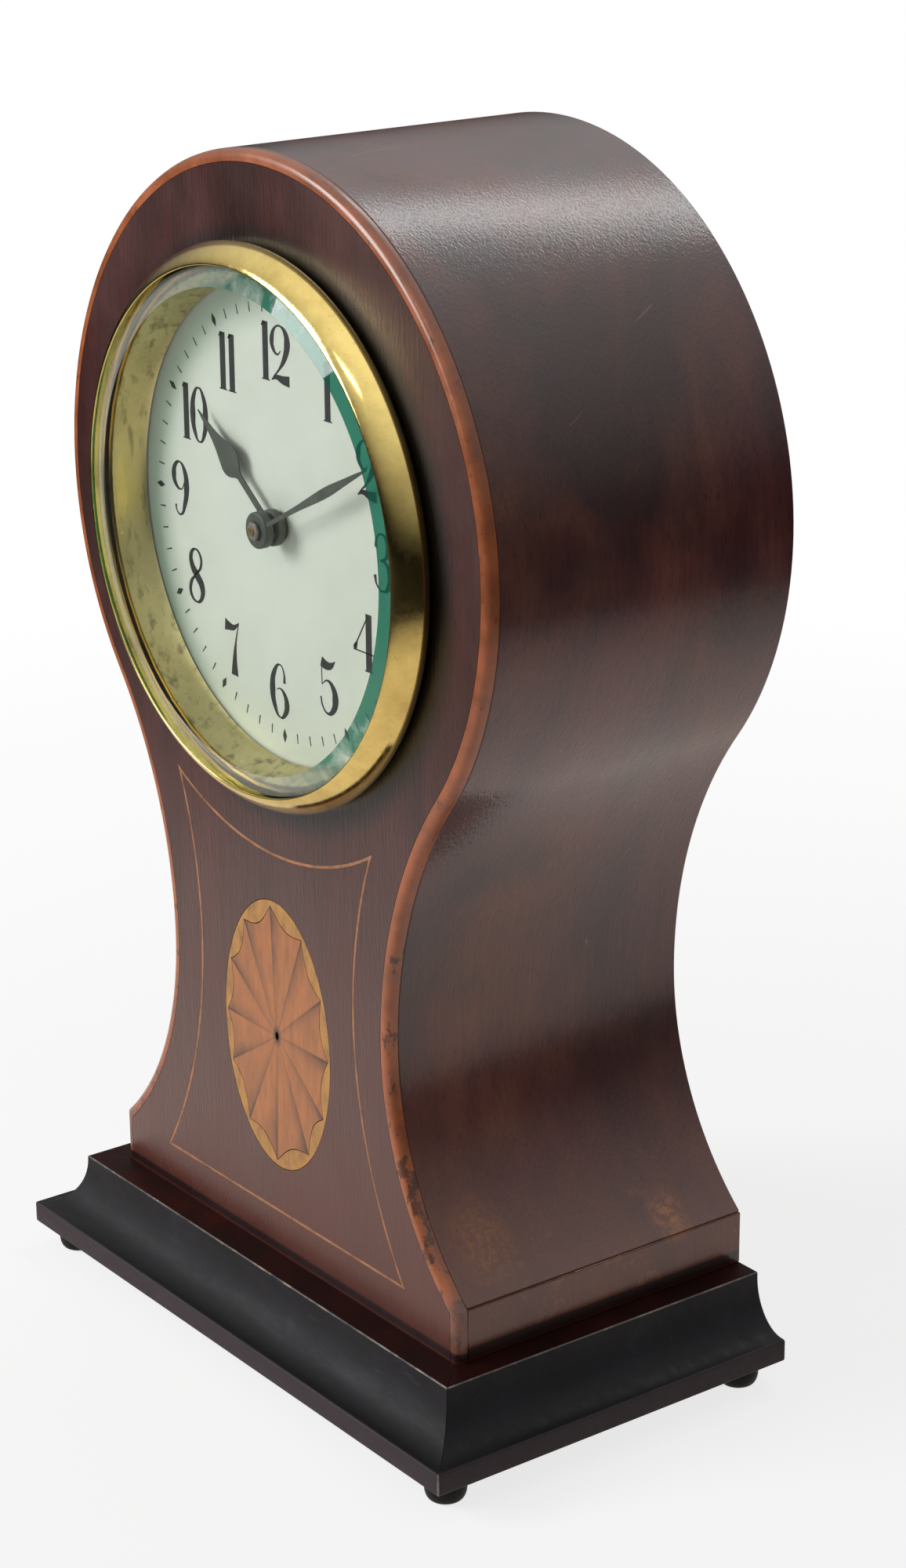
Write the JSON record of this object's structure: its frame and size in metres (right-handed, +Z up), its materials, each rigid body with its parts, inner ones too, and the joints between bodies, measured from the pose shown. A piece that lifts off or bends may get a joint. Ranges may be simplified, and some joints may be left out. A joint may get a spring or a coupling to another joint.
{
  "type": "balloon mantel clock",
  "caption": "Balloon-shaped mahogany mantel clock with brass bezel, white dial, inlaid oval fan, ebonised moulded base, bun feet, hinged back door and spring-driven movement.",
  "frame": {"origin": "on the surface that the clock stands on, at the middle of its footprint", "axes": "+Z up, the dial faces -Y, +X to the right as seen from the front"},
  "size_m": [0.1364, 0.0804, 0.2276],
  "materials": {
    "front_mahogany": "french-polished mahogany, upright grain",
    "side_mahogany": "polished mahogany veneer, darkened and worn",
    "back_mahogany": "stained, unpolished",
    "carcass_pine": "bare, stained where it shows",
    "ebonised_wood": "ebonised, satin",
    "edge_boxwood": "polished, orange-brown",
    "line_boxwood": "polished",
    "fan_boxwood": "sand-shaded and polished",
    "border_satinwood": "polished",
    "bezel_brass": "polished, lightly patinated",
    "case_brass": "spun, lightly tarnished",
    "movement_brass": "lacquered",
    "steel": "bright",
    "hand_metal": "blackened",
    "dial_enamel": "white, semi-gloss",
    "dial_glass": "clear, bevelled edge"
  },
  "bodies": {
    "case": {"base_board": "carcass_pine", "base_moulding_front": "ebonised_wood", "base_moulding_left": "ebonised_wood", "base_moulding_right": "ebonised_wood", "foot_front_left": "ebonised_wood", "foot_front_right": "ebonised_wood", "foot_back_left": "ebonised_wood", "foot_back_right": "ebonised_wood", "plinth_block": "side_mahogany", "front_board": "front_mahogany", "edge_stringing": "edge_boxwood", "shield_stringing": "line_boxwood", "fan_inlay": "fan_boxwood", "fan_inlay_border": "border_satinwood", "carcass_left": "carcass_pine", "carcass_right": "carcass_pine", "carcass_crown": "carcass_pine", "side_veneer": "side_mahogany", "back_board": "back_mahogany", "back_ring": "case_brass", "door_hinge_pin": "steel", "bezel": "bezel_brass", "glass": "dial_glass", "sight_ring": "bezel_brass", "drum": "case_brass", "dial": "dial_enamel", "drum_bracket_left": "case_brass", "drum_bracket_right": "case_brass", "bracket_screw_left": "steel", "bracket_screw_right": "steel", "front_plate": "movement_brass", "back_plate": "movement_brass", "pillar_1": "movement_brass", "pillar_2": "movement_brass", "pillar_3": "movement_brass", "hairspring": "steel"},
    "minute_arbor": {"centre_wheel": "movement_brass", "cannon_pinion": "steel", "minute_hand": "hand_metal", "hand_nut": "movement_brass", "hand_setting_knob": "movement_brass"},
    "hour_pipe": {"hour_wheel": "movement_brass", "hour_hand": "hand_metal"},
    "minute_wheel": {"minute_wheel": "movement_brass"},
    "barrel": {"barrel": "movement_brass", "barrel_cap": "movement_brass", "mainspring": "steel"},
    "third_wheel": {"third_wheel": "movement_brass"},
    "fourth_wheel": {"fourth_wheel": "movement_brass"},
    "escape_wheel": {"escape_wheel": "movement_brass"},
    "winding": {"barrel_arbor": "steel", "ratchet_wheel": "steel", "winding_key": "movement_brass"},
    "click": {"click": "steel"},
    "balance": {"balance_wheel": "movement_brass"},
    "pallet_fork": {"pallet_fork": "steel"},
    "regulator": {"regulator": "steel"},
    "back_door": {"back_door": "case_brass", "door_knob": "case_brass"}
  },
  "joints": [
    {"name": "minute_hand_turn", "type": "hinge", "parent": "case", "child": "minute_arbor", "pos_m": [0, 0, 0.1614], "axis": [0, 1, 0], "continuous": true},
    {"name": "hour_hand_turn", "type": "hinge", "parent": "case", "child": "hour_pipe", "pos_m": [0, 0, 0.1614], "axis": [0, 1, 0], "continuous": true},
    {"name": "minute_wheel_turn", "type": "hinge", "parent": "case", "child": "minute_wheel", "pos_m": [0, 0, 0.15238], "axis": [0, 1, 0], "continuous": true},
    {"name": "barrel_turn", "type": "hinge", "parent": "case", "child": "barrel", "pos_m": [-0.01415, 0, 0.14725], "axis": [0, 1, 0], "continuous": true},
    {"name": "third_wheel_turn", "type": "hinge", "parent": "case", "child": "third_wheel", "pos_m": [-0.00705, 0, 0.17361], "axis": [0, 1, 0], "continuous": true},
    {"name": "fourth_wheel_turn", "type": "hinge", "parent": "case", "child": "fourth_wheel", "pos_m": [0.00451, 0, 0.17782], "axis": [0, 1, 0], "continuous": true},
    {"name": "escape_wheel_turn", "type": "hinge", "parent": "case", "child": "escape_wheel", "pos_m": [0.01241, 0, 0.17118], "axis": [0, 1, 0], "continuous": true},
    {"name": "winding_turn", "type": "hinge", "parent": "case", "child": "winding", "pos_m": [-0.01415, 0, 0.14725], "axis": [0, -1, 0], "range_deg": [0, 1980]},
    {"name": "click_lift", "type": "hinge", "parent": "case", "child": "click", "pos_m": [-0.0243, 0, 0.14356], "axis": [0, 1, 0], "range_deg": [0, 14], "stiffness_Nm_per_rad": 0.02, "springref_deg": -5.73},
    {"name": "balance_swing", "type": "hinge", "parent": "case", "child": "balance", "pos_m": [0.02046, 0, 0.1549], "axis": [0, 1, 0], "range_deg": [-140, 140], "stiffness_Nm_per_rad": 0.00003},
    {"name": "pallet_rock", "type": "hinge", "parent": "case", "child": "pallet_fork", "pos_m": [0.01751, 0, 0.16591], "axis": [0, 1, 0], "range_deg": [-7, 7]},
    {"name": "regulator_move", "type": "hinge", "parent": "case", "child": "regulator", "pos_m": [0.02046, 0, 0.1549], "axis": [0, 1, 0], "range_deg": [-20, 20]},
    {"name": "back_door_swing", "type": "hinge", "parent": "case", "child": "back_door", "pos_m": [0.0476, 0.035, 0.1614], "axis": [0, 0, -1], "range_deg": [0, 110]}
  ],
  "couplings": [
    {"joint": "hour_hand_turn", "follows": "minute_hand_turn", "ratio": 0.083333},
    {"joint": "minute_wheel_turn", "follows": "minute_hand_turn", "ratio": -0.33333},
    {"joint": "barrel_turn", "follows": "minute_hand_turn", "ratio": -0.16667},
    {"joint": "third_wheel_turn", "follows": "minute_hand_turn", "ratio": -8},
    {"joint": "fourth_wheel_turn", "follows": "minute_hand_turn", "ratio": 60},
    {"joint": "escape_wheel_turn", "follows": "minute_hand_turn", "ratio": -480},
    {"joint": "pallet_rock", "follows": "balance_swing", "ratio": -0.05}
  ]
}
